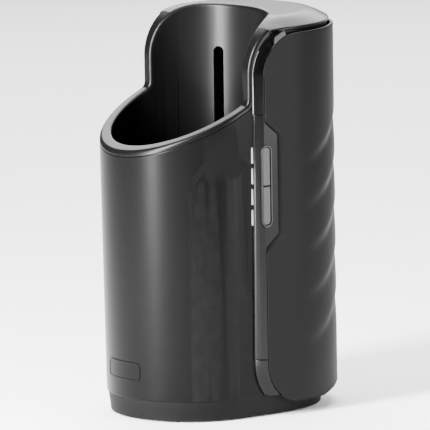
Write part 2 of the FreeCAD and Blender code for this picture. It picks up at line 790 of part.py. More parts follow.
def make_controls():
    bezel = make_body("button_bezel")
    ring = make_sketch(bezel, "YZ_Plane", "bezel_root")
    draw_pill(ring, "axis_back + control_back", "control_middle", "bezel_half_width",
              "bezel_half_height")
    draw_pill(ring, "axis_back + control_back", "control_middle",
              "bezel_half_width - bezel_width", "bezel_half_height - bezel_width")
    pad(bezel, ring, "strip_face + 0.5 - (bezel_root)")

    left = "axis_back + control_back - button_width / 2"
    right = "axis_back + control_back + button_width / 2"
    for label, up in (("power_button", 1), ("mode_button", -1)):
        button = make_body(label)
        face = make_sketch(button, "YZ_Plane", "button_root")
        near = f"control_middle + {up} * button_gap / 2"
        far = f"control_middle + {up} * (control_half)"
        round_end = "button_width * 0.499"
        draw_outline(face, [
            (left, near, None),
            (right, near, None),
            (right, far, round_end),
            (left, far, round_end),
        ])
        pad(button, face, "button_face - (button_root)")

    board = box_body("control_board", [
        ("control_board_face - board_thickness", "control_board_face"),
        ("axis_back + light_back - 2.5", "axis_back + control_back + 6"),
        ("control_middle - control_half - 6", "control_middle + control_half + 7"),
    ])

    switches = make_body("tact_switches", many=True)
    for up in (1, -1):
        middle = f"control_middle + {up} * (control_half) / 2"
        switch = make_sketch(switches, "YZ_Plane", "control_board_face")
        draw_box(switch, left, right, f"{middle} - button_width / 2", f"{middle} + button_width / 2")
        pad(switches, switch, "switch_depth")
        plunger = make_sketch(switches, "YZ_Plane", "control_board_face")
        draw_circle(plunger, "axis_back + control_back", middle, "button_width / 4")
        pad(switches, plunger, "button_root - control_board_face - button_travel - 0.3")

    lamps = make_body("status_leds", many=True)
    pipes = make_body("light_pipes", many=True)
    for step in range(4):
        height = f"light_first - light_pitch * {step}"
        lamp = make_sketch(lamps, "YZ_Plane", "control_board_face")
        draw_box(lamp, "axis_back + light_back - led_side / 2", "axis_back + light_back + led_side / 2",
                 f"{height} - led_side", f"{height} + led_side")
        pad(lamps, lamp, "led_depth")
        pipe = make_sketch(pipes, "YZ_Plane", "control_board_face + led_depth + 0.1")
        draw_pill(pipe, "axis_back + light_back", height, "light_width / 2", "light_length / 2")
        pad(pipes, pipe, f"{shell_radius(height)} + 0.1 - control_board_face - led_depth")


# ---- Cooling unit -----------------------------------------------------------

def make_duct():
    duct = box_body("cold_duct", [
        ("-duct_half_width", "duct_half_width"),
        ("axis_back + duct_half_width", "cold_back + duct_wall"),
        ("duct_low", "duct_high"),
    ])
    cut_block(duct, [
        ("-duct_half_width + duct_wall", "duct_half_width - duct_wall"),
        ("axis_back", "cold_back"),
        ("duct_low + duct_wall", "duct_high - duct_wall"),
    ])
    spin(duct, [
        ("0", "0"),
        (liner_radius("0") + " + duct_seal", "0"),
        (liner_radius("top_height") + " + duct_seal", "top_height"),
        ("0", "top_height"),
    ], remove=True)
    window = make_sketch(duct, "XZ_Plane", "-(cold_back - 1)")
    draw_box(window, "-module_side / 2 - 0.3", "module_side / 2 + 0.3",
             "unit_middle - module_side / 2 - 0.3", "unit_middle + module_side / 2 + 0.3")
    cut(duct, window, "duct_wall + 2")
    screws = make_sketch(duct, "XZ_Plane", "-(cold_back - 1)")
    for across, up in CLAMP_PLACES:
        draw_circle(screws, across, up, "screw_radius + 0.1")
    cut(duct, screws, "duct_wall + 2")


def make_sink(label, half_width, height, front, depth, plate_in_front):
    """A plate with upright fins over its whole width."""
    low = f"unit_middle - {height} / 2"
    high = f"unit_middle + {height} / 2"
    plate = (front, f"{front} + sink_base")
    fins = (f"{front} + sink_base - 0.2", f"{front} + {depth}")
    if not plate_in_front:
        plate = (f"{front} + {depth} - sink_base", f"{front} + {depth}")
        fins = (front, f"{front} + {depth} - sink_base + 0.2")
    sink = box_body(label, [(f"-{half_width}", half_width), plate, (low, high)])
    fin = add_block(sink, [(f"-{half_width}", f"-{half_width} + fin_thickness"), fins, (low, high)])
    row = sink.newObject("PartDesign::LinearPattern", "fins")
    row.Originals = [fin]
    row.Direction = (fin.Profile[0], ["H_Axis"])
    row.setExpression("Length", formula(f"2 * {half_width} - fin_thickness"))
    row.Occurrences = round(value(f"2 * {half_width}") / value("fin_pitch"))
    sink.Tip = row
    screws = make_sketch(sink, "XZ_Plane", f"-({front} - 1)")
    for across, up in CLAMP_PLACES:
        draw_circle(screws, across, up, "screw_radius + 0.02")
    cut(sink, screws, f"{depth} + 2")
    return sink


def make_cooling():
    make_duct()
    make_sink("cold_sink", "cold_sink_half_width", "cold_sink_height", "cold_front", "cold_depth",
              plate_in_front=False)
    hot = make_sink("hot_sink", "hot_sink_half_width", "hot_sink_height", "hot_front", "hot_depth",
                    plate_in_front=True)
    threads = make_sketch(hot, "XZ_Plane", "-(hot_front + sink_base)")
    for across, up in FAN_SCREW_PLACES:
        draw_circle(threads, across, up, "screw_radius + 0.02")
    cut(hot, threads, "hot_depth")

    half_side = "module_side / 2"
    box_body("thermoelectric_module", [
        (f"-{half_side}", half_side),
        ("cold_back", "hot_front"),
        (f"unit_middle - {half_side}", f"unit_middle + {half_side}"),
    ])
    gasket = make_body("module_gasket")
    ring = make_sketch(gasket, "XZ_Plane", "-(cold_back + duct_wall)")
    for grow in ("gasket_width + 0.3", "0.3"):
        draw_box(ring, f"-{half_side} - ({grow})", f"{half_side} + {grow}",
                 f"unit_middle - {half_side} - ({grow})", f"unit_middle + {half_side} + {grow}")
    pad(gasket, ring, "module_thickness - duct_wall", reverse=True)

    clamps = make_body("clamp_screws", many=True)
    shanks = make_sketch(clamps, "XZ_Plane", "-(cold_front + 2)")
    heads = make_sketch(clamps, "XZ_Plane", "-(hot_front + sink_base)")
    for across, up in CLAMP_PLACES:
        draw_circle(shanks, across, up, "screw_radius")
        draw_circle(heads, across, up, "screw_radius + 0.01")
    pad(clamps, shanks, "hot_front + sink_base - (cold_front) - 2", reverse=True)
    pad(clamps, heads, "screw_radius * 1.5", reverse=True)

    fan_screws = make_body("hot_fan_screws", many=True)
    shanks = make_sketch(fan_screws, "XZ_Plane", "-(hot_fan_front - 4)")
    heads = make_sketch(fan_screws, "XZ_Plane", "-(hot_fan_front + fan_depth)")
    for across, up in FAN_SCREW_PLACES:
        draw_circle(shanks, across, up, "screw_radius")
        draw_circle(heads, across, up, "screw_radius * 1.8")
    pad(fan_screws, shanks, "fan_depth + 4", reverse=True)
    pad(fan_screws, heads, "screw_radius", reverse=True)

    make_fan("hot_fan", "hot_fan_side", "hot_fan_front", "unit_middle", FAN_SCREW_PLACES)
    make_fan("cold_fan", "cold_fan_side", "cold_front", "cold_fan_middle", [])

    bead = make_body("thermistor")
    spin(bead, [
        ("0", "duct_high - 12"),
        ("screw_radius", "duct_high - 11"),
        ("screw_radius", "duct_high - 6"),
        ("screw_radius / 2", "duct_high - duct_wall"),
        ("0", "duct_high - duct_wall"),
    ], back="cold_back - 3")


def fan_sketch(owner, back, height):
    """A sketch across the fan's axis, with its zero on the axis."""
    made = make_sketch(owner, "XZ_Plane", f"-({back})")
    made.setExpression("AttachmentOffset.Base.y", formula(height))
    return made


def make_fan(label, side, front, height, screw_places):
    frame = box_body(label + "_frame", [
        (f"-{side} / 2", f"{side} / 2"),
        (front, f"{front} + fan_depth"),
        (f"{height} - {side} / 2", f"{height} + {side} / 2"),
    ])
    bore = fan_sketch(frame, front, height)
    draw_circle(bore, "0", "0", f"{side} / 2 - fan_wall")
    cut(frame, bore, "fan_depth")
    web = f"{front} + fan_depth - fan_web"
    back = f"{front} + fan_depth"
    reach = f"{side} / 2 - fan_wall / 2"
    arm = "fan_web / 2 + 0.4"
    add_block(frame, [(f"-({reach})", reach), (web, back), (f"{height} - {arm}", f"{height} + {arm}")])
    add_block(frame, [(f"-({arm})", arm), (web, back), (f"{height} - ({reach})", f"{height} + {reach}")])
    disc = fan_sketch(frame, web, height)
    draw_circle(disc, "0", "0", "hub_radius")
    pad(frame, disc, "fan_web", reverse=True)
    tube_front = f"{front} + fan_web * 2.4"
    tube = fan_sketch(frame, tube_front, height)
    draw_circle(tube, "0", "0", "shaft_radius * 2")
    pad(frame, tube, "fan_depth - fan_web * 3", reverse=True)
    bearing = fan_sketch(frame, front, height)
    draw_circle(bearing, "0", "0", "shaft_radius + shaft_clearance")
    cut(frame, bearing, "fan_depth - fan_web / 3")
    if screw_places:
        holes = make_sketch(frame, "XZ_Plane", f"-({front})")
        for across, up in screw_places:
            draw_circle(holes, across, up, "screw_radius + 0.1")
        cut(frame, holes, "fan_depth")

    rotor = make_body(label + "_rotor")
    hub = fan_sketch(rotor, f"{front} + fan_web * 0.7", height)
    draw_circle(hub, "0", "0", "hub_radius")
    pad(rotor, hub, "fan_depth - fan_web * 2.2", reverse=True)
    hollow = fan_sketch(rotor, f"{front} + fan_web * 1.6", height)
    draw_circle(hollow, "0", "0", "hub_radius - fan_web * 0.8")
    cut(rotor, hollow, "fan_depth")
    shaft = fan_sketch(rotor, f"{front} + fan_web", height)
    draw_circle(shaft, "0", "0", "shaft_radius")
    pad(rotor, shaft, "fan_depth - fan_web * 1.8", reverse=True)
    blade = make_sketch(rotor, "YZ_Plane", "hub_radius - 0.4")
    low = f"{front} + fan_web"
    high = f"{front} + fan_depth - fan_web * 1.7"
    slant = "hub_radius * 0.35"
    thick = "fin_thickness"
    draw_outline(blade, [
        (low, f"{height} - {slant}", None),
        (high, f"{height} + {slant}", None),
        (high, f"{height} + {slant} + {thick}", None),
        (low, f"{height} - {slant} + {thick}", None),
    ])
    one = pad(rotor, blade, f"{side} / 2 - fan_wall - hub_radius - 0.8")
    ring = rotor.newObject("PartDesign::PolarPattern", "blades")
    ring.Originals = [one]
    ring.Axis = (hub, ["N_Axis"])
    ring.Angle = 360
    ring.Occurrences = 7
    rotor.Tip = ring


# ---- Electronics ------------------------------------------------------------

def make_electronics():
    box_body("main_board", [
        ("-main_board_width / 2", "main_board_width / 2"),
        ("board_front", "board_face"),
        ("main_board_bottom", "main_board_bottom + main_board_height"),
    ])
    top = "main_board_bottom + main_board_height"

    cans = make_body("board_capacitors", many=True)
    discs = make_sketch(cans, "XZ_Plane", "-(board_face)")
    for step in range(3):
        draw_circle(discs, f"-can_radius * 5.6 + can_radius * 2.4 * {step}", f"{top} - can_radius * 2",
                    "can_radius")
    pad(cans, discs, "can_radius * 2.6", reverse=True)

    coil = doc.addObject("Part::Torus", "board_inductor")
    coil.Label = "board_inductor"
    coil.setExpression("Radius1", formula("can_radius * 1.5"))
    coil.setExpression("Radius2", formula("can_radius * 0.6"))
    coil.Placement.Rotation = FreeCAD.Rotation(Vector(1, 0, 0), 90)
    coil.setExpression("Placement.Base.x", formula("can_radius * 3"))
    coil.setExpression("Placement.Base.y", formula("board_face + can_radius * 0.6"))
    coil.setExpression("Placement.Base.z", formula(f"{top} - can_radius * 3"))

    drivers = make_body("board_transistors", many=True)
    for across in ("-can_radius * 5", "-can_radius * 2"):
        add_block(drivers, [
            (f"{across} - can_radius", f"{across} + can_radius"),
            ("board_face", "board_face + can_radius"),
            ("main_board_bottom + 4", "main_board_bottom + 4 + can_radius * 3"),
        ])

    plugs = make_body("board_connectors", many=True)
    for across in ("can_radius * 2", "can_radius * 5"):
        add_block(plugs, [
            (f"{across} - can_radius", f"{across} + can_radius"),
            ("board_face", "board_face + can_radius * 1.2"),
            ("main_board_bottom + 4", "main_board_bottom + 4 + can_radius * 2"),
        ])

    inlet = make_body("dc_inlet")
    barrel = make_sketch(inlet, "XZ_Plane", "-(inlet_mouth - inlet_length)")
    draw_circle(barrel, "0", "inlet_height", "inlet_radius")
    pad(inlet, barrel, "inlet_length", reverse=True)
    flange = make_sketch(inlet, "XZ_Plane", "-(inlet_mouth - inlet_length)")
    draw_box(flange, "-inlet_radius - 1", "inlet_radius + 1", "inlet_height - inlet_radius - 1",
             "inlet_height + inlet_radius + 1")
    pad(inlet, flange, "inlet_length - shell_wall - 1.5", reverse=True)
    socket = make_sketch(inlet, "XZ_Plane", "-(inlet_mouth - inlet_depth)")
    draw_circle(socket, "0", "inlet_height", "inlet_bore_radius")
    cut(inlet, socket, "inlet_length")
    pin = make_sketch(inlet, "XZ_Plane", "-(inlet_mouth - inlet_depth)")
    draw_circle(pin, "0", "inlet_height", "inlet_pin_radius")
    pad(inlet, pin, "inlet_depth - 1", reverse=True)


def make_lead(label, points, turn):
    """A round lead along straight runs joined by tangent arcs."""
    spots = [Vector(*(value(number) for number in point)) for point in points]
    edges = []
    start = spots[0]
    for before, here, after in zip(spots, spots[1:], spots[2:]):
        back = (before - here).normalize()
        ahead = (after - here).normalize()
        half = back.getAngle(ahead) / 2
        reach = turn / math.tan(half)
        into = here + back * reach
        out = here + ahead * reach
        middle = here + (back + ahead).normalize() * (turn / math.sin(half) - turn)
        edges.append(Part.LineSegment(start, into).toShape())
        edges.append(Part.Arc(into, middle, out).toShape())
        start = out
    edges.append(Part.LineSegment(start, spots[-1]).toShape())
    path = Part.Wire(edges)
    circle = Part.Circle(spots[0], spots[1] - spots[0], value("lead_radius"))
    tube = path.makePipeShell([Part.Wire([circle.toShape()])], True, True)
    if abs(tube.Volume / (path.Length * math.pi * value("lead_radius") ** 2) - 1) > 0.02:
        raise RuntimeError(f"{label}: the lead's volume is not its section times its length")
    made = doc.addObject("Part::Feature", label)
    made.Label = label
    made.Shape = tube
    made.Placement = FreeCAD.Placement()


def make_leads():
    bend = value("lead_radius") * 4
    plug_face = "board_face + can_radius * 1.2"
    plug_middle = "main_board_bottom + 4 + can_radius"
    make_lead("inlet_lead", [
        ("can_radius * 2", plug_face, plug_middle),
        ("can_radius * 2", f"{plug_face} + 5", plug_middle),
        ("0", f"{plug_face} + 9", "inlet_height"),
        ("0", "inlet_mouth - inlet_length", "inlet_height"),
    ], bend / 2)
    beside = "-module_side / 2 - gasket_width - 4"
    behind = "(cold_back + duct_wall + hot_front) / 2"
    make_lead("module_lead", [
        (beside, behind, "main_board_bottom + main_board_height / 2"),
        (beside, behind, "unit_middle"),
        ("-module_side / 2 - gasket_width - 0.4", behind, "unit_middle"),
    ], bend / 2)
    side = "control_board_face - board_thickness - lead_radius * 2"
    make_lead("control_lead", [
        (side, "axis_back + control_back + 4", "control_middle - control_half - 5"),
        (side, "axis_back + control_back + 20", "control_middle - control_half - 40"),
        ("main_board_width / 2 + 6", "board_face + 3", "main_board_bottom + main_board_height - 8"),
        ("main_board_width / 2 - 3", "board_face + 3", "main_board_bottom + main_board_height - 8"),
    ], bend / 2)


# ---- Build, check and write -------------------------------------------------

def check_and_write():
    doc.recompute()
    for item in doc.Objects:
        if "Invalid" in item.State or "Error" in item.State:
            raise RuntimeError(f"{item.Name} ({item.Label}) is {item.State}")
    kinds = ("PartDesign::Body", "Part::Torus", "Part::Feature")
    pieces = [item for item in doc.Objects if item.TypeId in kinds]
    for piece in pieces:
        if piece.Shape.isNull() or not piece.Shape.isValid() or not piece.Shape.Solids:
            raise RuntimeError(f"{piece.Label}: the shape is not a valid solid")
    for piece in pieces:
        piece.Shape.exportStep(f"parts/{piece.Label}.step")
    print(len(pieces), "parts written")


make_shell()
make_liner()
make_base()
make_well_fittings()
make_panel("side_panel_right", 1, notch=True)
make_panel("side_panel_left", -1, notch=False)
make_strip("trim_strip_right", 1, notch=True)
make_strip("trim_strip_left", -1, notch=False)
make_rear_cover()
make_badge()
make_controls()
make_cooling()
make_electronics()
make_leads()
check_and_write()
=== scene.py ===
import math
import json

import bpy
from mathutils import Matrix, Vector


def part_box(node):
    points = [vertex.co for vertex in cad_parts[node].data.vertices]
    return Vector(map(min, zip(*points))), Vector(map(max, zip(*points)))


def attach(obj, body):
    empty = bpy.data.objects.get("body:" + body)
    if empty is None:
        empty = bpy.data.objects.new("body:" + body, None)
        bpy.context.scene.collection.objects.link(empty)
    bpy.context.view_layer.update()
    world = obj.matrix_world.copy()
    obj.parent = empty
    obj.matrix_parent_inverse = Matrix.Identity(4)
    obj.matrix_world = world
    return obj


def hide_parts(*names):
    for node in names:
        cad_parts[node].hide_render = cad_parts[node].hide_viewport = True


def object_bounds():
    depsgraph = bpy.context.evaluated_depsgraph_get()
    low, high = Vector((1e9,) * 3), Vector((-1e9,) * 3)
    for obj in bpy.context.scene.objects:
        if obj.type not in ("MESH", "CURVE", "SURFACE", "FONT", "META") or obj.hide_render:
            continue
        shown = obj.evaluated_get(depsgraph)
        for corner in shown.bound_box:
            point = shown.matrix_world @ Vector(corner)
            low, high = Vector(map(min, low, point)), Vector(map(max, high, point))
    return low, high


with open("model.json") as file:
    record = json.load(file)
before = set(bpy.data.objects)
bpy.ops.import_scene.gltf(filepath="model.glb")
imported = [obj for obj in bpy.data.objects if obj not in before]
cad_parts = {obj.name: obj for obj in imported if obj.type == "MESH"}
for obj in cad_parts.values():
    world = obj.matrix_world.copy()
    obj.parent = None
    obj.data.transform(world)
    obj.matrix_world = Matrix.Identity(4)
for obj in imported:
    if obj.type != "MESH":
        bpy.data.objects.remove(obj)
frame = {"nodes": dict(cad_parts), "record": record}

bl_info = {
    "name": "Bottle chiller",
    "version": (1, 0, 0),
    "blender": (4, 5, 0),
    "location": "View3D > Sidebar > Chiller",
    "description": "Builds the casing, panels, controls and finishes of a bottle chiller",
    "category": "Add Mesh",
}

mm = 0.001
# Two heights nearer than this are one height
CLOSE = 0.003 * mm
# Past every part of the object
FAR = 0.3

# Places that come from the frame
MODEL_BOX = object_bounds()
PAD_LOW, PAD_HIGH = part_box("floor_pad")
LINER_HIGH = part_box("well_liner")[1]
SHELL_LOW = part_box("outer_shell")[0]
PANEL_LOW, PANEL_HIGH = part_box("side_panel_right")
STRIP_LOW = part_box("trim_strip_right")[0]
BEZEL_LOW, BEZEL_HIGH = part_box("button_bezel")
BADGE_LOW, BADGE_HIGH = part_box("badge_plate")
WELL_AXIS = (PAD_LOW.y + PAD_HIGH.y) / 2
DECK_RADIUS = LINER_HIGH.x
TOWER_AXIS = LINER_HIGH.y - DECK_RADIUS
TOP = LINER_HIGH.z
CONTROL_BACK = (BEZEL_LOW.y + BEZEL_HIGH.y) / 2

# Fixed details of the form
RIM_SLOPE = math.radians(25)
DECK_SIDE = 0.9 * mm
NOTCH_BELOW = 4.8 * mm
NOTCH_ABOVE = 6.3 * mm
PANEL_TOP_STEP = 1.4 * mm
STRIP_INSET = 2.3 * mm
STRIP_JOINTS = (37.7 * mm, 194 * mm)
JOINT_WIDTH = 0.25 * mm
# An end radius a little under half the width keeps its two corners apart
ROUND_END = 0.99


# ---- Settings ---------------------------------------------------------------

def length(name, default, description):
    return bpy.props.FloatProperty(
        name=name, default=default, description=description, unit="LENGTH", precision=5)


def colour(name, default, description):
    return bpy.props.FloatVectorProperty(
        name=name, default=default, description=description, subtype="COLOR", min=0, max=1)


class ChillerSizes(bpy.types.PropertyGroup):
    shell_base_radius: length("Shell base radius", 55.5 * mm, "Radius where the shell meets the base")
    shell_top_radius: length("Shell top radius", 58.2 * mm, "Radius of the drafted shell at its top")
    shell_wall: length("Shell wall", 2.2 * mm, "Thickness of the outer shell")
    rim_front_height: length("Rim front height", 171.5 * mm, "Height of the rim at its lowest point")
    rim_corner: length("Rim corner", 5.0 * mm, "Radius where the slanted rim turns up")
    wing_front: length("Wing front", 5.0 * mm, "Upright rim edge, behind the well's axis")
    wing_arc: length("Wing arc", 34.0 * mm, "Radius of the wing's top corner")
    lip_round: length("Lip rounding", 2.3 * mm, "Rounding of the lip's two edges")
    lip_depth: length("Lip depth", 3.0 * mm, "Height of the lip above the seam")
    seam_gap: length("Seam gap", 0.35 * mm, "Gap between the lip and the shell")
    well_top_radius: length("Well top radius", 50.0 * mm, "Radius of the well at its mouth")
    well_base_radius: length("Well base radius", 48.0 * mm, "Radius of the well at its floor")
    deck_bevel_width: length("Deck bevel width", 12.4 * mm, "Width of the sloped band round the deck")
    deck_bevel_drop: length("Deck bevel drop", 6.1 * mm, "Fall of the sloped band round the deck")
    panel_front: length("Panel front", 14.4 * mm, "Front edge of a side panel behind the axis")
    panel_corner: length("Panel corner", 26.0 * mm, "Corner radius of a side panel")
    panel_round: length("Panel rounding", 0.8 * mm, "Rounding of a side panel's edges")
    notch_depth: length("Notch depth", 9.6 * mm, "Depth of the notch round the controls")
    notch_ramp: length("Notch ramp", 8.0 * mm, "Height of the notch's slanted ends")
    wave_depth: length("Wave depth", 1.9 * mm, "Depth of the swept ridges on a panel")
    wave_pitch: length("Wave pitch", 29.0 * mm, "Distance between swept ridges")
    relief_depth: length("Relief depth", 1.9 * mm, "Depth of the stepped field on the tub")


class ChillerColours(bpy.types.PropertyGroup):
    shell: colour("Shell", (0.0016, 0.0016, 0.0016), "Satin shell")
    liner: colour("Liner", (0.0018, 0.0018, 0.0018), "Satin liner and lip")
    panel: colour("Panel", (0.004, 0.004, 0.004), "Matte side panels")
    trim: colour("Trim", (0.001, 0.001, 0.001), "Gloss strips")
    base: colour("Base", (0.0015, 0.0015, 0.0015), "Matte base")
    button: colour("Button", (0.017, 0.017, 0.018), "Soft grey buttons")
    light: colour("Light bars", (0.30, 0.31, 0.32), "Milky light bars")
    floor: colour("Floor", (0.92, 0.92, 0.92), "Plain floor")


def sizes():
    return bpy.context.scene.chiller_sizes


def colours():
    return bpy.context.scene.chiller_colours


# ---- Modelling helpers ------------------------------------------------------

def start_clean():
    """Leave edit mode and select nothing."""
    if bpy.context.object and bpy.context.object.mode != "OBJECT":
        bpy.ops.object.mode_set(mode="OBJECT")
    bpy.ops.object.select_all(action="DESELECT")


def make_active(piece):
    """Select one piece alone."""
    start_clean()
    piece.select_set(True)
    bpy.context.view_layer.objects.active = piece


def select_points(piece, test):
    """Go to edit mode with only the points that pass the test selected."""
    make_active(piece)
    bpy.ops.object.mode_set(mode="EDIT")
    bpy.ops.mesh.select_mode(type="VERT")
    bpy.ops.mesh.select_all(action="DESELECT")
    bpy.ops.object.mode_set(mode="OBJECT")
    for point in piece.data.vertices:
        point.select = test(point.co)
    bpy.ops.object.mode_set(mode="EDIT")


def face_outwards(piece):
    """Turn every face of a closed piece outwards."""
    make_active(piece)
    bpy.ops.object.mode_set(mode="EDIT")
    bpy.ops.mesh.select_all(action="SELECT")
    bpy.ops.mesh.normals_make_consistent(inside=False)
    bpy.ops.object.mode_set(mode="OBJECT")


def apply_modifier(piece, kind, **settings):
    """Add a modifier with its settings and apply it."""
    make_active(piece)
    modifier = piece.modifiers.new(kind.lower(), kind)
    for name, setting in settings.items():
        setattr(modifier, name, setting)
    bpy.ops.object.modifier_apply(modifier=modifier.name)


def carve(piece, cutter):
    """Take a cutter away from a piece."""
    apply_modifier(piece, "BOOLEAN", operation="DIFFERENCE", object=cutter, solver="EXACT")
    bpy.data.objects.remove(cutter)


def common(piece, cutter):
    """Keep what a piece and a cutter share."""
    apply_modifier(piece, "BOOLEAN", operation="INTERSECT", object=cutter, solver="EXACT")
    bpy.data.objects.remove(cutter)


def round_edges(piece, width, segments=3, angle=28):
    """Round every edge that turns by more than an angle."""
    apply_modifier(
        piece, "BEVEL", width=width, segments=segments, limit_method="ANGLE",
        angle_limit=math.radians(angle), use_clamp_overlap=False, miter_outer="MITER_ARC")


def round_chosen(piece, width, segments, test, angle=40):
    """Round the sharp edges whose two points pass the test."""
    make_active(piece)
    bpy.ops.object.mode_set(mode="EDIT")
    bpy.ops.mesh.select_mode(type="EDGE")
    bpy.ops.mesh.select_all(action="DESELECT")
    bpy.ops.mesh.edges_select_sharp(sharpness=math.radians(angle))
    bpy.ops.object.mode_set(mode="OBJECT")
    points = piece.data.vertices
    for edge in piece.data.edges:
        if edge.select:
            edge.select = test(*(points[index].co for index in edge.vertices))
    bpy.ops.object.mode_set(mode="EDIT")
    bpy.ops.transform.edge_bevelweight(value=1)
    bpy.ops.object.mode_set(mode="OBJECT")
    apply_modifier(
        piece, "BEVEL", width=width, segments=segments, limit_method="WEIGHT",
        use_clamp_overlap=False, miter_outer="MITER_ARC")


def smooth(piece, angle=32):
    """Shade a piece smooth up to an angle, led by its large faces."""
    make_active(piece)
    bpy.ops.object.shade_smooth_by_angle(angle=math.radians(angle))
    apply_modifier(piece, "WEIGHTED_NORMAL", keep_sharp=True, weight=80)


def rounded(corners, segments=10):
    """Points of a closed outline through corners (across, up, radius)."""
    points = []
    count = len(corners)
    for index, (across, up, radius) in enumerate(corners):
        here = Vector((across, up))
        if radius <= 0:
            points.append(here)
            continue
        before = (Vector(corners[index - 1][:2]) - here).normalized()
        after = (Vector(corners[(index + 1) % count][:2]) - here).normalized()
        half = before.angle(after) / 2
        middle = here + (before + after).normalized() * (radius / math.sin(half))
        start = here + before * (radius / math.tan(half)) - middle
        end = here + after * (radius / math.tan(half)) - middle
        turn = start.angle_signed(end)
        for step in range(segments + 1):
            points.append(middle + Matrix.Rotation(-turn * step / segments, 2) @ start)
    return points


def rectangle(left, right, low, high, corner=0.0, segments=10):
    """Points of an upright rectangle with equal corner radii."""
    return rounded([
        (left, low, corner), (right, low, corner), (right, high, corner), (left, high, corner)
    ], segments)


def pill(middle, half, low, high):
    """Points of an upright bar with round ends."""
    return rectangle(middle - half, middle + half, low, high, half * ROUND_END)


def prism(name, points, near, far, axis="X"):
    """Extrude a closed outline between two places along an axis."""
    start_clean()
    bpy.ops.mesh.primitive_circle_add(vertices=len(points), radius=1, fill_type="NGON")
    piece = bpy.context.object
    piece.name = name
    for vertex, (across, up) in zip(piece.data.vertices, points):
        spot = {"X": (near, across, up), "Y": (across, near, up), "Z": (across, up, near)}
        vertex.co = spot[axis]
    move = {"X": (far - near, 0, 0), "Y": (0, far - near, 0), "Z": (0, 0, far - near)}
    bpy.ops.object.mode_set(mode="EDIT")
    bpy.ops.mesh.select_all(action="SELECT")
    bpy.ops.mesh.extrude_region_move(TRANSFORM_OT_translate={"value": move[axis]})
    face_outwards(piece)
    return piece


def level_box(low, high):
    """A box that takes in everything between two heights."""
    return prism("level", rectangle(-FAR, FAR, low, high), -FAR, FAR)


def drafted(name, profile, tower=None, segments=144):
    """A solid with a stadium plan: profile lists (height, radius)."""
    tower = TOWER_AXIS - WELL_AXIS if tower is None else tower
    start_clean()
    height, radius = profile[0]
    bpy.ops.mesh.primitive_circle_add(
        vertices=segments, radius=radius, fill_type="NGON", location=(0, WELL_AXIS, height))
    piece = bpy.context.object
    piece.name = name
    bpy.ops.object.transform_apply(location=True, rotation=True, scale=True)
    if tower > 0:
        select_points(piece, lambda spot: spot.y > WELL_AXIS - CLOSE)
        bpy.ops.transform.translate(value=(0, tower, 0))
    for (low, before), (high, after) in zip(profile, profile[1:]):
        select_points(piece, lambda spot: abs(spot.z - low) < CLOSE)
        bpy.ops.mesh.extrude_region_move(TRANSFORM_OT_translate={"value": (0, 0, high - low)})
        bpy.ops.object.mode_set(mode="OBJECT")
        grow = after / before
        split = WELL_AXIS + tower / 2
        for test, centre in (
            (lambda spot: abs(spot.z - high) < CLOSE and spot.y <= split, WELL_AXIS),
            (lambda spot: abs(spot.z - high) < CLOSE and spot.y > split, WELL_AXIS + tower),
        ):
            select_points(piece, test)
            bpy.ops.transform.resize(value=(grow, grow, 1), center_override=(0, centre, high))
    face_outwards(piece)
    return piece


def finish_piece(piece, body, material, replaces=()):
    """Keep a piece inside the frame's box, and give it its finish and its place."""
    low, high = MODEL_BOX
    for vertex in piece.data.vertices:
        vertex.co = [min(max(part, low[axis]), high[axis]) for axis, part in enumerate(vertex.co)]
    piece.data.materials.clear()
    piece.data.materials.append(material)
    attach(piece, body)
    if replaces:
        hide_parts(*replaces)


def divide_upright(piece, cuts):
    """Divide the upright edges of a piece into rows."""
    make_active(piece)
    bpy.ops.object.mode_set(mode="EDIT")
    bpy.ops.mesh.select_mode(type="EDGE")
    bpy.ops.mesh.select_all(action="DESELECT")
    bpy.ops.object.mode_set(mode="OBJECT")
    points = piece.data.vertices
    for edge in piece.data.edges:
        start, end = edge.vertices
        edge.select = abs(points[start].co.z - points[end].co.z) > CLOSE
    bpy.ops.object.mode_set(mode="EDIT")
    bpy.ops.mesh.subdivide(number_cuts=cuts)
    bpy.ops.object.mode_set(mode="OBJECT")


def duplicate(piece, name):
    """Copy a piece with its own mesh."""
    make_active(piece)
    bpy.ops.object.duplicate()
    copy = bpy.context.object
    copy.name = name
    return copy


def flip(piece):
    """Turn a piece over to the other side, with its faces outwards."""
    make_active(piece)
    bpy.ops.object.mode_set(mode="EDIT")
    bpy.ops.mesh.select_all(action="SELECT")
    bpy.ops.transform.resize(value=(-1, 1, 1), center_override=(0, 0, 0))
    bpy.ops.object.mode_set(mode="OBJECT")
    face_outwards(piece)


# ---- Materials --------------------------------------------------------------

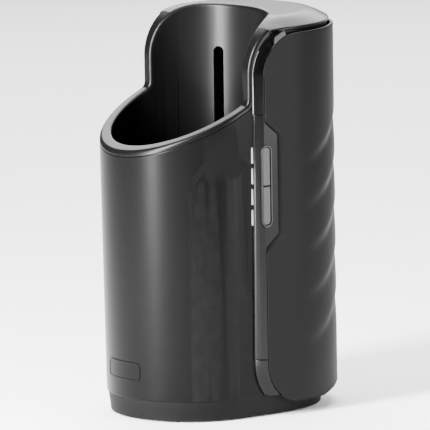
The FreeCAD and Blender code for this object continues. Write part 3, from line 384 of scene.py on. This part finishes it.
def moulded_skin():
    """Node group: fine grain, slow roughness variation and faint dust."""
    found = bpy.data.node_groups.get("Moulded skin")
    if found:
        return found
    group = bpy.data.node_groups.new("Moulded skin", "ShaderNodeTree")
    ports = group.interface
    for name, default in (("Grain Scale", 900.0), ("Roughness", 0.4), ("Variation", 0.05)):
        socket = ports.new_socket(name=name, in_out="INPUT", socket_type="NodeSocketFloat")
        socket.default_value = default
    ports.new_socket(name="Height", in_out="OUTPUT", socket_type="NodeSocketFloat")
    ports.new_socket(name="Roughness", in_out="OUTPUT", socket_type="NodeSocketFloat")
    ports.new_socket(name="Shade", in_out="OUTPUT", socket_type="NodeSocketFloat")
    nodes = group.nodes
    link = group.links.new
    inputs = nodes.new("NodeGroupInput")
    outputs = nodes.new("NodeGroupOutput")
    place = nodes.new("ShaderNodeTexCoord")
    grain = nodes.new("ShaderNodeTexNoise")
    grain.inputs["Detail"].default_value = 3
    link(place.outputs["Object"], grain.inputs["Vector"])
    link(inputs.outputs["Grain Scale"], grain.inputs["Scale"])
    cloud = nodes.new("ShaderNodeTexNoise")
    cloud.inputs["Scale"].default_value = 22
    cloud.inputs["Detail"].default_value = 5
    link(place.outputs["Object"], cloud.inputs["Vector"])
    centred = nodes.new("ShaderNodeMath")
    centred.operation = "SUBTRACT"
    centred.inputs[1].default_value = 0.5
    link(cloud.outputs["Fac"], centred.inputs[0])
    spread = nodes.new("ShaderNodeMath")
    spread.operation = "MULTIPLY"
    link(centred.outputs[0], spread.inputs[0])
    link(inputs.outputs["Variation"], spread.inputs[1])
    total = nodes.new("ShaderNodeMath")
    total.operation = "ADD"
    link(spread.outputs[0], total.inputs[0])
    link(inputs.outputs["Roughness"], total.inputs[1])
    link(grain.outputs["Fac"], outputs.inputs["Height"])
    link(total.outputs[0], outputs.inputs["Roughness"])
    link(cloud.outputs["Fac"], outputs.inputs["Shade"])
    return group


def edge_wear():
    """Node group: a mask that is white on the sharp outer edges."""
    found = bpy.data.node_groups.get("Edge wear")
    if found:
        return found
    group = bpy.data.node_groups.new("Edge wear", "ShaderNodeTree")
    ports = group.interface
    amount = ports.new_socket(name="Amount", in_out="INPUT", socket_type="NodeSocketFloat")
    amount.default_value = 0.3
    ports.new_socket(name="Mask", in_out="OUTPUT", socket_type="NodeSocketFloat")
    nodes = group.nodes
    link = group.links.new
    inputs = nodes.new("NodeGroupInput")
    outputs = nodes.new("NodeGroupOutput")
    shape = nodes.new("ShaderNodeNewGeometry")
    ramp = nodes.new("ShaderNodeMapRange")
    ramp.inputs["From Min"].default_value = 0.52
    ramp.inputs["From Max"].default_value = 0.62
    link(shape.outputs["Pointiness"], ramp.inputs["Value"])
    broken = nodes.new("ShaderNodeTexNoise")
    broken.inputs["Scale"].default_value = 160
    place = nodes.new("ShaderNodeTexCoord")
    link(place.outputs["Object"], broken.inputs["Vector"])
    part = nodes.new("ShaderNodeMath")
    part.operation = "MULTIPLY"
    link(ramp.outputs["Result"], part.inputs[0])
    link(broken.outputs["Fac"], part.inputs[1])
    whole = nodes.new("ShaderNodeMath")
    whole.operation = "MULTIPLY"
    link(part.outputs[0], whole.inputs[0])
    link(inputs.outputs["Amount"], whole.inputs[1])
    link(whole.outputs[0], outputs.inputs["Mask"])
    return group


def plastic(name, tint, roughness, grain=900, bump=0.05, variation=0.06, metallic=0.0,
            wear=0.3, shade=0.25, gloss=0.5):
    """A moulded plastic, or a metal, with grain, roughness variation and edge wear."""
    found = bpy.data.materials.get(name)
    if found:
        return found
    material = bpy.data.materials.new(name)
    material.use_nodes = True
    nodes = material.node_tree.nodes
    link = material.node_tree.links.new
    shader = nodes["Principled BSDF"]
    shader.inputs["Metallic"].default_value = metallic
    shader.inputs["Specular IOR Level"].default_value = gloss
    skin = nodes.new("ShaderNodeGroup")
    skin.node_tree = moulded_skin()
    skin.inputs["Grain Scale"].default_value = grain
    skin.inputs["Roughness"].default_value = roughness
    skin.inputs["Variation"].default_value = variation
    edge = nodes.new("ShaderNodeGroup")
    edge.node_tree = edge_wear()
    edge.inputs["Amount"].default_value = wear
    mottled = nodes.new("ShaderNodeMix")
    mottled.data_type = "RGBA"
    mottled.inputs["A"].default_value = (*[part * (1 - shade) for part in tint], 1)
    mottled.inputs["B"].default_value = (*[min(1, part * (1 + shade)) for part in tint], 1)
    link(skin.outputs["Shade"], mottled.inputs["Factor"])
    worn = nodes.new("ShaderNodeMix")
    worn.data_type = "RGBA"
    worn.inputs["B"].default_value = (*[min(1, part * 1.8 + 0.01) for part in tint], 1)
    link(edge.outputs["Mask"], worn.inputs["Factor"])
    link(mottled.outputs["Result"], worn.inputs["A"])
    link(worn.outputs["Result"], shader.inputs["Base Color"])
    link(skin.outputs["Roughness"], shader.inputs["Roughness"])
    relief = nodes.new("ShaderNodeBump")
    relief.inputs["Strength"].default_value = bump
    relief.inputs["Distance"].default_value = 0.0002
    link(skin.outputs["Height"], relief.inputs["Height"])
    link(relief.outputs["Normal"], shader.inputs["Normal"])
    return material


def finishes():
    """Every finish by name: made on first use."""
    tint = colours()
    return {
        "shell": plastic("Satin shell", tuple(tint.shell), 0.28, bump=0.03, gloss=0.06, variation=0.02),
        "liner": plastic("Satin liner", tuple(tint.liner), 0.30, bump=0.03, gloss=0.12, variation=0.02),
        "panel": plastic("Matte panel", tuple(tint.panel), 0.45, grain=1300, bump=0.15, gloss=0.06),
        "gloss_trim": plastic("Gloss trim", tuple(tint.trim), 0.06, bump=0.0, variation=0.02, gloss=0.16),
        "base": plastic("Matte base", tuple(tint.base), 0.6, bump=0.2, gloss=0.08),
        "button": plastic("Button", tuple(tint.button), 0.5, bump=0.15),
        "bezel": plastic("Bezel", (0.003, 0.003, 0.003), 0.2, gloss=0.3),
        "light_pipe": plastic("Light bar", tuple(tint.light), 0.35, bump=0.02),
        "rubber": plastic("Rubber", (0.02, 0.02, 0.02), 0.75, bump=0.3),
        "foam": plastic("Foam", (0.30, 0.30, 0.31), 0.95, grain=300, bump=0.9),
        "heat_sink": plastic("Aluminium", (0.75, 0.75, 0.76), 0.35, metallic=1.0),
        "ceramic": plastic("Ceramic", (0.82, 0.82, 0.80), 0.45),
        "fan": plastic("Fan plastic", (0.03, 0.03, 0.031), 0.45),
        "inner_plastic": plastic("Inner plastic", (0.012, 0.012, 0.012), 0.6, gloss=0.2),
        "screw": plastic("Zinc", (0.55, 0.55, 0.56), 0.3, metallic=1.0),
        "board": plastic("Solder mask", (0.02, 0.12, 0.05), 0.35),
        "component": plastic("Component", (0.03, 0.03, 0.032), 0.5),
        "capacitor": plastic("Can", (0.6, 0.6, 0.62), 0.3, metallic=1.0),
        "copper": plastic("Winding", (0.55, 0.22, 0.08), 0.3, metallic=0.8),
        "lead": plastic("Lead", (0.02, 0.02, 0.02), 0.5),
    }


# ---- Shared forms -----------------------------------------------------------

def shell_radius(height):
    """Radius of the drafted shell at a height."""
    low = sizes().shell_base_radius
    high = sizes().shell_top_radius
    return low + (high - low) * (height - SHELL_LOW.z) / (TOP - SHELL_LOW.z)


def deck_edge():
    """Height where the deck's sloped band starts."""
    return TOP - sizes().deck_bevel_drop


def deck_underside():
    """Height where the deck stands on the shell."""
    return deck_edge() - DECK_SIDE


def notch_ends():
    """Heights between which the notch round the controls has its full depth."""
    return BEZEL_LOW.z - NOTCH_BELOW, BEZEL_HIGH.z + NOTCH_ABOVE


def rim_cutter(name, drop, deck, below=False):
    """All that lies above the rim, or below it, with the rim set `drop` down and back."""
    size = sizes()
    wing = WELL_AXIS + size.wing_front + drop
    fall = drop / math.cos(RIM_SLOPE)
    rise = math.tan(RIM_SLOPE)
    rear = size.rim_front_height + (shell_radius(size.rim_front_height) + size.wing_front) * rise
    limit = -FAR if below else FAR * 2
    corners = [
        (WELL_AXIS - FAR, rear - (FAR + size.wing_front) * rise - fall, 0),
        (wing, rear - fall + drop * rise, size.rim_corner + drop),
        (wing, deck, size.wing_arc - drop),
        (TOWER_AXIS + FAR, deck, 0),
        (TOWER_AXIS + FAR, limit, 0),
        (WELL_AXIS - FAR, limit, 0),
    ]
    return prism(name, rounded(corners, 16), -FAR, FAR)


def panel_outline(gap=0.0, notch=True):
    """Side outline of a panel, set off outwards by a gap."""
    size = sizes()
    front = WELL_AXIS + size.panel_front - gap
    low, high = notch_ends()
    soft = size.notch_ramp / 4
    steps = [
        (front, low - size.notch_ramp, soft),
        (front + size.notch_depth, low, soft),
        (front + size.notch_depth, high, soft),
        (front, high + size.notch_ramp, soft),
    ]
    bottom = PANEL_LOW.z - gap
    top = PANEL_HIGH.z - PANEL_TOP_STEP + gap
    rear = TOWER_AXIS + FAR
    corners = [
        (front, bottom, size.panel_corner + gap),
        *(steps if notch else []),
        (front, top, size.panel_corner + gap),
        (rear, top, 0),
        (rear, bottom + 7 * mm + (FAR - PANEL_HIGH.x) * 0.2, 0),
        (TOWER_AXIS + PANEL_HIGH.x * 0.4, bottom, size.panel_corner * 2),
    ]
    return rounded(corners, 8)


# ---- Operators --------------------------------------------------------------

class CHILLER_OT_shell(bpy.types.Operator):
    """Model the outer shell with its seam and stepped relief"""
    bl_idname = "chiller.shell"
    bl_label = "Outer shell"

    def execute(self, context):
        size = sizes()
        low = SHELL_LOW.z
        high = deck_edge()
        shell = drafted("casing_shell", [(low, shell_radius(low)), (high, shell_radius(high))])
        wall = size.shell_wall
        inside = drafted("inside", [
            (low - 1 * mm, shell_radius(low) - wall), (high + 1 * mm, shell_radius(high) - wall)])
        seam = size.lip_depth + size.seam_gap
        above = rim_cutter("above", seam, deck_underside() - size.seam_gap)
        carve(shell, above)
        for side in (1, -1):
            carve(shell, self.relief_cutter(side))
        carve(shell, inside)
        self.cut_windows(shell)
        round_edges(shell, 0.45 * mm, 2, 50)
        smooth(shell, 18)
        finish_piece(shell, "housing", finishes()["shell"], ["outer_shell"])
        return {"FINISHED"}

    def relief_cutter(self, side):
        """A field that is set back from the tub, deepest at its upper corner."""
        turn = math.radians(68)
        across = Vector((math.cos(turn), math.sin(turn)))
        corner = -14.8 * mm
        top = 153 * mm
        fade = 88 * mm
        beyond = 45 * mm
        low = fade - 20 * mm
        outline = rounded([
            (corner, low, 0),
            (beyond, low, 0),
            (beyond, top + (beyond - corner) * 0.6, 0),
            (corner, top, 9 * mm),
        ], 8)
        surface = shell_radius(top) * math.cos(math.radians(15))
        field = prism("field", outline, surface - 4 * mm, surface + 9 * mm, "Y")
        slant = math.tan(math.radians(17))
        for vertex in field.data.vertices:
            depth = vertex.co.y
            shift = (surface - depth) / slant
            forward = Vector((math.sin(turn), -math.cos(turn))) * depth
            spot = across * (vertex.co.x + shift) + forward
            vertex.co = Vector((spot.x * side, WELL_AXIS + spot.y, vertex.co.z - shift * 0.55))
        face_outwards(field)
        start = fade - 30 * mm
        end = top + 60 * mm
        deep = sizes().relief_depth
        floor = drafted("floor_of_field", [
            (start, shell_radius(start) + deep * 30 * mm / (top - fade)),
            (top, shell_radius(top) - deep),
            (end, shell_radius(end) - deep),
        ])
        carve(field, floor)
        return field

    def cut_windows(self, shell):
        """Open the shell behind the buttons and at the rear cover's louvres."""
        half = 3.4 * mm
        edge = 0.6 * mm
        controls = rectangle(CONTROL_BACK - half, CONTROL_BACK + half,
                             BEZEL_LOW.z + edge, BEZEL_HIGH.z - edge, 3.3 * mm)
        carve(shell, prism("window", controls, 45 * mm, 70 * mm))
        louvres = rectangle(-9.5 * mm, 9.5 * mm, 66 * mm, 220 * mm)
        carve(shell, prism("exhaust", louvres, TOWER_AXIS + 30 * mm, TOWER_AXIS + 80 * mm, "Y"))


class CHILLER_OT_liner(bpy.types.Operator):
    """Model the well, the rounded lip and the top deck as one moulding"""
    bl_idname = "chiller.liner"
    bl_label = "Well, lip and deck"

    def execute(self, context):
        size = sizes()
        wall = size.shell_wall
        floor = PAD_LOW.z
        edge = deck_edge()
        under = deck_underside()
        drop = size.deck_bevel_drop
        band = size.deck_bevel_width
        liner = drafted("well_and_deck", [
            (floor - wall, shell_radius(floor)),
            (under, shell_radius(under)),
            (under + 0.01 * mm, DECK_RADIUS),
            (edge, DECK_RADIUS),
            (edge + drop * 0.12, DECK_RADIUS - band * 0.05),
            (edge + drop * 0.62, DECK_RADIUS - band * 0.55),
            (edge + drop * 0.86, DECK_RADIUS - band * 0.84),
            (edge + drop * 0.97, DECK_RADIUS - band * 1.1),
            (TOP, DECK_RADIUS - band * 1.4),
        ])
        carve(liner, rim_cutter("above", 0.0, TOP))
        carve(liner, drafted("bore", [
            (floor, size.well_base_radius),
            (TOP, size.well_top_radius),
            (TOP + 20 * mm, size.well_top_radius),
        ], tower=0))
        round_chosen(liner, size.lip_round, 5, lambda start, end: (
            min(start.z, end.z) > 30 * mm
            and not (abs(start.z - end.z) < CLOSE and abs(start.z - edge) < 1 * mm)))
        for side in (1, -1):
            carve(liner, self.slot(side))
        outside = rim_cutter("outside", size.lip_depth, under, below=True)
        carve(outside, drafted("cup", [
            (-0.02, size.well_base_radius + wall),
            (TOP + 20 * mm, size.well_top_radius + wall),
        ], tower=0))
        carve(liner, outside)
        smooth(liner, 35)
        finish_piece(liner, "housing", finishes()["liner"], ["well_liner"])
        return {"FINISHED"}

    def slot(self, side):
        """An upright air slot through the well's rear wall."""
        cutter = prism("slot", pill(0, 3.5 * mm, 70 * mm, 225.5 * mm), 30 * mm, 58 * mm, "Y")
        make_active(cutter)
        cutter.rotation_euler.z = side * math.radians(32)
        cutter.location.y = WELL_AXIS
        bpy.ops.object.transform_apply(location=True, rotation=True, scale=True)
        return cutter


class CHILLER_OT_panels(bpy.types.Operator):
    """Model the two side panels with their swept ridges"""
    bl_idname = "chiller.panels"
    bl_label = "Side panels"

    def execute(self, context):
        sheet = self.sheet()
        for name, node, side in (
            ("panel_right", "side_panel_right", 1), ("panel_left", "side_panel_left", -1)
        ):
            panel = duplicate(sheet, name)
            if side < 0:
                flip(panel)
            outline = panel_outline(notch=side > 0)
            common(panel, prism("keep", outline, side * PANEL_LOW.x, side * FAR))
            if side > 0:
                carve(panel, self.notch_band())
            round_edges(panel, sizes().panel_round, 4, 40)
            smooth(panel, 24)
            finish_piece(panel, "housing", finishes()["panel"], [node])
        bpy.data.objects.remove(sheet)
        return {"FINISHED"}

    def notch_band(self):
        """A wedge that slopes the panel's face down to the notch."""
        face = PANEL_HIGH.x
        inner = self.band_outline(0.2 * mm)
        outer = self.band_outline(3.8 * mm)
        band = prism("band", inner, face - 1.3 * mm, face + 0.5 * mm)
        for vertex in band.data.vertices:
            if vertex.co.x > face:
                spot = Vector(vertex.co[1:])
                nearest = min(range(len(inner)), key=lambda place: (inner[place] - spot).length)
                vertex.co.y, vertex.co.z = outer[nearest]
        face_outwards(band)
        return band

    def band_outline(self, spread):
        """Outline of the sloped band at one depth, wider the nearer it is to the face."""
        size = sizes()
        low, high = notch_ends()
        before = 8 * mm
        front = WELL_AXIS + size.panel_front - before
        back = WELL_AXIS + size.panel_front + size.notch_depth + spread
        ramp = size.notch_ramp + before
        return rounded([
            (front, low - ramp - spread, 0),
            (back, low - spread * 0.6, 2 * mm),
            (back, high + spread * 0.6, 2 * mm),
            (front, high + ramp + spread * 0.2, 0),
        ], 4)

    def sheet(self):
        """A curved sheet in rows, ridged on its +X side and hollow inside."""
        margin = 2 * mm
        low = PANEL_LOW.z - margin
        high = PANEL_HIGH.z + margin
        wide = PANEL_HIGH.x
        thick = 2.5 * mm
        sheet = drafted("sheet", [(low, wide), (high, wide)], segments=180)
        divide_upright(sheet, 150)
        self.press_waves(sheet)
        carve(sheet, drafted("inner", [(low - thick, wide - thick), (high + thick, wide - thick)]))
        return sheet

    def press_waves(self, panel):
        """Press swept ridges into the lower rear of a panel."""
        size = sizes()
        ridges = 5
        lowest = 18 * mm
        sweep = 66 * mm
        fall = 0.2
        fade_start, fade_length = 0.04, 0.36
        for vertex in panel.data.vertices:
            spot = vertex.co
            if spot.y <= TOWER_AXIS or spot.x <= 0:
                continue
            along = math.atan2(spot.y - TOWER_AXIS, spot.x) / (math.pi / 2)
            phase = (spot.z - lowest - sweep * along ** 1.6) / size.wave_pitch
            if not 0 <= phase < ridges:
                continue
            part = phase - math.floor(phase)
            crest = part ** 1.8 * min(1.0, (1 - part) / fall)
            fade = min(1.0, max(0.0, (along - fade_start) / fade_length))
            press = size.wave_depth * crest * fade
            away = Vector((spot.x, spot.y - TOWER_AXIS, 0)).normalized()
            vertex.co = spot - away * press


class CHILLER_OT_strips(bpy.types.Operator):
    """Model the two gloss strips that slope out from the shell to the panels"""
    bl_idname = "chiller.strips"
    bl_label = "Gloss strips"

    def execute(self, context):
        for name, node, side in (
            ("strip_right", "trim_strip_right", 1), ("strip_left", "trim_strip_left", -1)
        ):
            strip = self.strip(name)
            outline = panel_outline(gap=0.3 * mm, notch=side > 0)
            carve(strip, prism("inner", outline, 50 * mm, FAR))
            for joint in STRIP_JOINTS:
                carve(strip, level_box(joint, joint + JOINT_WIDTH))
            common(strip, level_box(STRIP_LOW.z, deck_underside() - 0.3 * mm))
            if side > 0:
                carve(strip, self.pocket())
            round_edges(strip, 0.35 * mm, 2, 30)
            smooth(strip, 30)
            if side < 0:
                flip(strip)
            finish_piece(strip, "housing", finishes()["gloss_trim"], [node])
        return {"FINISHED"}

    def strip(self, name):
        """Rows of points from the shell's surface out to the panel's face."""
        size = sizes()
        front = WELL_AXIS + size.wing_front + STRIP_INSET
        arc = size.wing_arc - STRIP_INSET
        high = TOP - 4.0 * mm - arc
        curl = size.panel_corner + size.panel_front - size.wing_front - STRIP_INSET
        low = PANEL_LOW.z + size.panel_corner
        steps = 25
        path = []
        for step in range(-steps, steps + 1):
            turn = math.radians(3 * step)
            radius, centre = (arc, high) if step > 0 else (curl, low)
            path.append((front + radius * (1 - math.cos(turn)), centre + radius * math.sin(turn), turn))
        rows = ((0.0, 0.0), (0.8, 0.35), (2.6, 0.68), (6.0, 1.0), (22.0, 1.0))
        start_clean()
        bpy.ops.mesh.primitive_grid_add(x_subdivisions=len(path) - 1, y_subdivisions=len(rows) - 1)
        strip = bpy.context.object
        strip.name = name
        for index, vertex in enumerate(strip.data.vertices):
            row, column = divmod(index, len(path))
            along, up, turn = path[column]
            inset, part = rows[row]
            start = shell_radius(up) + 0.15 * mm
            across = along + inset * mm * math.cos(turn)
            side = start + (PANEL_HIGH.x - 0.4 * mm - start) * part
            vertex.co = (side, across, up - inset * mm * math.sin(turn))
        bpy.ops.object.mode_set(mode="EDIT")
        bpy.ops.mesh.select_all(action="SELECT")
        bpy.ops.mesh.extrude_region_move(TRANSFORM_OT_translate={"value": (-1.6 * mm, 0, 0)})
        face_outwards(strip)
        return strip

    def pocket(self):
        """The pill-shaped pocket that holds the buttons."""
        half = (BEZEL_HIGH.y - BEZEL_LOW.y) / 2 + 0.1 * mm
        return prism("pocket", pill(CONTROL_BACK, half, BEZEL_LOW.z, BEZEL_HIGH.z), 40 * mm, 80 * mm)


class CHILLER_OT_badge(bpy.types.Operator):
    """Model the blank raised plate on the front"""
    bl_idname = "chiller.badge"
    bl_label = "Badge plate"

    def execute(self, context):
        corner = 3 * mm
        plate = self.shaped("badge", 0.0, corner, 0.55 * mm)
        hollow = self.shaped("hollow", 1.1 * mm, corner - 1 * mm, 2 * mm)
        carve(hollow, self.skin("skin", 0.3 * mm))
        carve(plate, hollow)
        round_edges(plate, 0.15 * mm, 2)
        smooth(plate)
        finish_piece(plate, "housing", finishes()["shell"], ["badge_plate"])
        return {"FINISHED"}

    def shaped(self, name, inset, corner, proud):
        """A rounded plate that follows the front of the shell."""
        outline = rectangle(BADGE_LOW.x + inset, BADGE_HIGH.x - inset,
                            BADGE_LOW.z + inset, BADGE_HIGH.z - inset, corner, 6)
        plate = prism(name, outline, WELL_AXIS - 30 * mm, WELL_AXIS - 80 * mm, "Y")
        common(plate, self.skin("outer", proud))
        carve(plate, self.skin("inner", 0.0, 10 * mm))
        return plate

    def skin(self, name, proud, margin=0.0):
        """The lower part of the shell's outside, a little larger all round."""
        low, high = -margin, 100 * mm + margin
        return drafted(name, [(low, shell_radius(low) + proud), (high, shell_radius(high) + proud)])


class CHILLER_OT_buttons(bpy.types.Operator):
    """Model the two push buttons with their tactile marks"""
    bl_idname = "chiller.buttons"
    bl_label = "Buttons"

    def execute(self, context):
        for body, up in (("power_button", 1), ("mode_button", -1)):
            low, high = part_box(body)
            half = (high.y - low.y) / 2
            near, far = (low.z, high.z) if up > 0 else (high.z, low.z)
            outline = rounded([
                (low.y, near, 0.3 * mm), (high.y, near, 0.3 * mm),
                (high.y, far, half * ROUND_END), (low.y, far, half * ROUND_END)], 8)
            button = prism(body + "_cap", outline, low.x, high.x - 0.15 * mm)
            round_edges(button, 0.5 * mm, 3, 50)
            middle = (low.z + high.z) / 2
            tall = 0.5 * mm
            wide = 0.5 * mm if up > 0 else 1.2 * mm
            mark = rectangle(CONTROL_BACK - wide, CONTROL_BACK + wide,
                             middle - tall, middle + tall, 0.4 * mm, 4)
            carve(button, prism("mark", mark, high.x - 0.35 * mm, high.x + 1 * mm))
            smooth(button, 40)
            finish_piece(button, body, finishes()["button"], [body])
        return {"FINISHED"}


class CHILLER_OT_finishes(bpy.types.Operator):
    """Give every frame part that stays in view its finish"""
    bl_idname = "chiller.finishes"
    bl_label = "Finishes"

    def execute(self, context):
        made = finishes()
        for entry in frame["record"]["subparts"]:
            node = frame["nodes"][entry["node"]]
            material = made[entry["material_slot"]]
            if not node.material_slots:
                node.data.materials.append(material)
            for slot in node.material_slots:
                slot.material = material
        return {"FINISHED"}


class CHILLER_OT_stage(bpy.types.Operator):
    """Set the floor, the soft lights and the camera"""
    bl_idname = "chiller.stage"
    bl_label = "Stage"

    def execute(self, context):
        self.add_floor()
        self.add_lights(context)
        self.add_camera(context)
        return {"FINISHED"}

    def add_floor(self):
        """A plain pale floor under the object."""
        start_clean()
        bpy.ops.mesh.primitive_plane_add(size=12, location=(0, 0, MODEL_BOX[0][2]))
        floor = bpy.context.object
        floor.name = "studio_floor"
        floor.data.materials.append(
            plastic("Studio floor", tuple(colours().floor), 0.75, bump=0.0, shade=0.0, wear=0.0))

    def add_lights(self, context):
        """A dim white surround and four soft boxes aimed at the object."""
        world = bpy.data.worlds.new("Studio")
        world.use_nodes = True
        background = world.node_tree.nodes["Background"]
        background.inputs["Color"].default_value = (1, 1, 1, 1)
        background.inputs["Strength"].default_value = 0.12
        context.scene.world = world
        target = Vector((0, 0, 0.13))
        for name, spot, width, height, power in (
            ("front_softbox", (0.09, -0.86, 0.46), 0.20, 0.9, 105),
            ("top_softbox", (-0.15, 0.15, 1.1), 0.8, 0.8, 22),
            ("back_softbox", (-1.2, 0.9, 1.4), 1.8, 1.8, 90),
            ("right_softbox", (1.25, 0.62, 0.45), 0.6, 0.9, 32),
        ):
            light = bpy.data.lights.new(name, "AREA")
            light.shape = "RECTANGLE"
            light.size = width
            light.size_y = height
            light.energy = power
            lamp = bpy.data.objects.new(name, light)
            lamp.location = spot
            lamp.rotation_euler = (Vector(spot) - target).to_track_quat("Z", "Y").to_euler()
            context.scene.collection.objects.link(lamp)

    def add_camera(self, context):
        """A long lens at the front right, a little above the rim."""
        azimuth = math.radians(54.36)
        elevation = math.radians(9.34)
        roll = math.radians(0.88)
        distance = 4.77
        back = Vector((math.sin(azimuth) * math.cos(elevation),
                       -math.cos(azimuth) * math.cos(elevation), math.sin(elevation)))
        right = Vector((math.cos(azimuth), math.sin(azimuth), 0))
        up = back.cross(right)
        aim = Vector((0, WELL_AXIS + 15.45 * mm, 128.75 * mm)) + right * 2.54 * mm - up * 6.24 * mm
        tilted_right = right * math.cos(roll) - up * math.sin(roll)
        tilted_up = up * math.cos(roll) + right * math.sin(roll)
        camera = bpy.data.cameras.new("camera")
        camera.sensor_width = 36
        camera.lens = 628.5
        camera.clip_end = 50
        viewer = bpy.data.objects.new("camera", camera)
        turn = Matrix((tilted_right, tilted_up, back)).transposed().to_4x4()
        viewer.matrix_world = Matrix.Translation(aim + back * distance) @ turn
        context.scene.collection.objects.link(viewer)
        context.scene.camera = viewer


class CHILLER_PT_panel(bpy.types.Panel):
    """Sizes, colours and steps of the bottle chiller"""
    bl_idname = "CHILLER_PT_panel"
    bl_label = "Bottle chiller"
    bl_space_type = "VIEW_3D"
    bl_region_type = "UI"
    bl_category = "Chiller"

    def draw(self, context):
        for group in (context.scene.chiller_sizes, context.scene.chiller_colours):
            box = self.layout.box()
            for name in group.__annotations__:
                box.prop(group, name)
        for step in STEPS:
            self.layout.operator(step.bl_idname)


STEPS = (
    CHILLER_OT_shell,
    CHILLER_OT_liner,
    CHILLER_OT_panels,
    CHILLER_OT_strips,
    CHILLER_OT_badge,
    CHILLER_OT_buttons,
    CHILLER_OT_finishes,
    CHILLER_OT_stage,
)
CLASSES = (ChillerSizes, ChillerColours, *STEPS, CHILLER_PT_panel)


def register():
    for item in CLASSES:
        bpy.utils.register_class(item)
    bpy.types.Scene.chiller_sizes = bpy.props.PointerProperty(type=ChillerSizes)
    bpy.types.Scene.chiller_colours = bpy.props.PointerProperty(type=ChillerColours)


def unregister():
    del bpy.types.Scene.chiller_colours
    del bpy.types.Scene.chiller_sizes
    for item in reversed(CLASSES):
        bpy.utils.unregister_class(item)


def main():
    """Register the add-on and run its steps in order."""
    register()
    for step in STEPS:
        group, name = step.bl_idname.split(".")
        getattr(getattr(bpy.ops, group), name)()


if __name__ == "__main__":
    main()
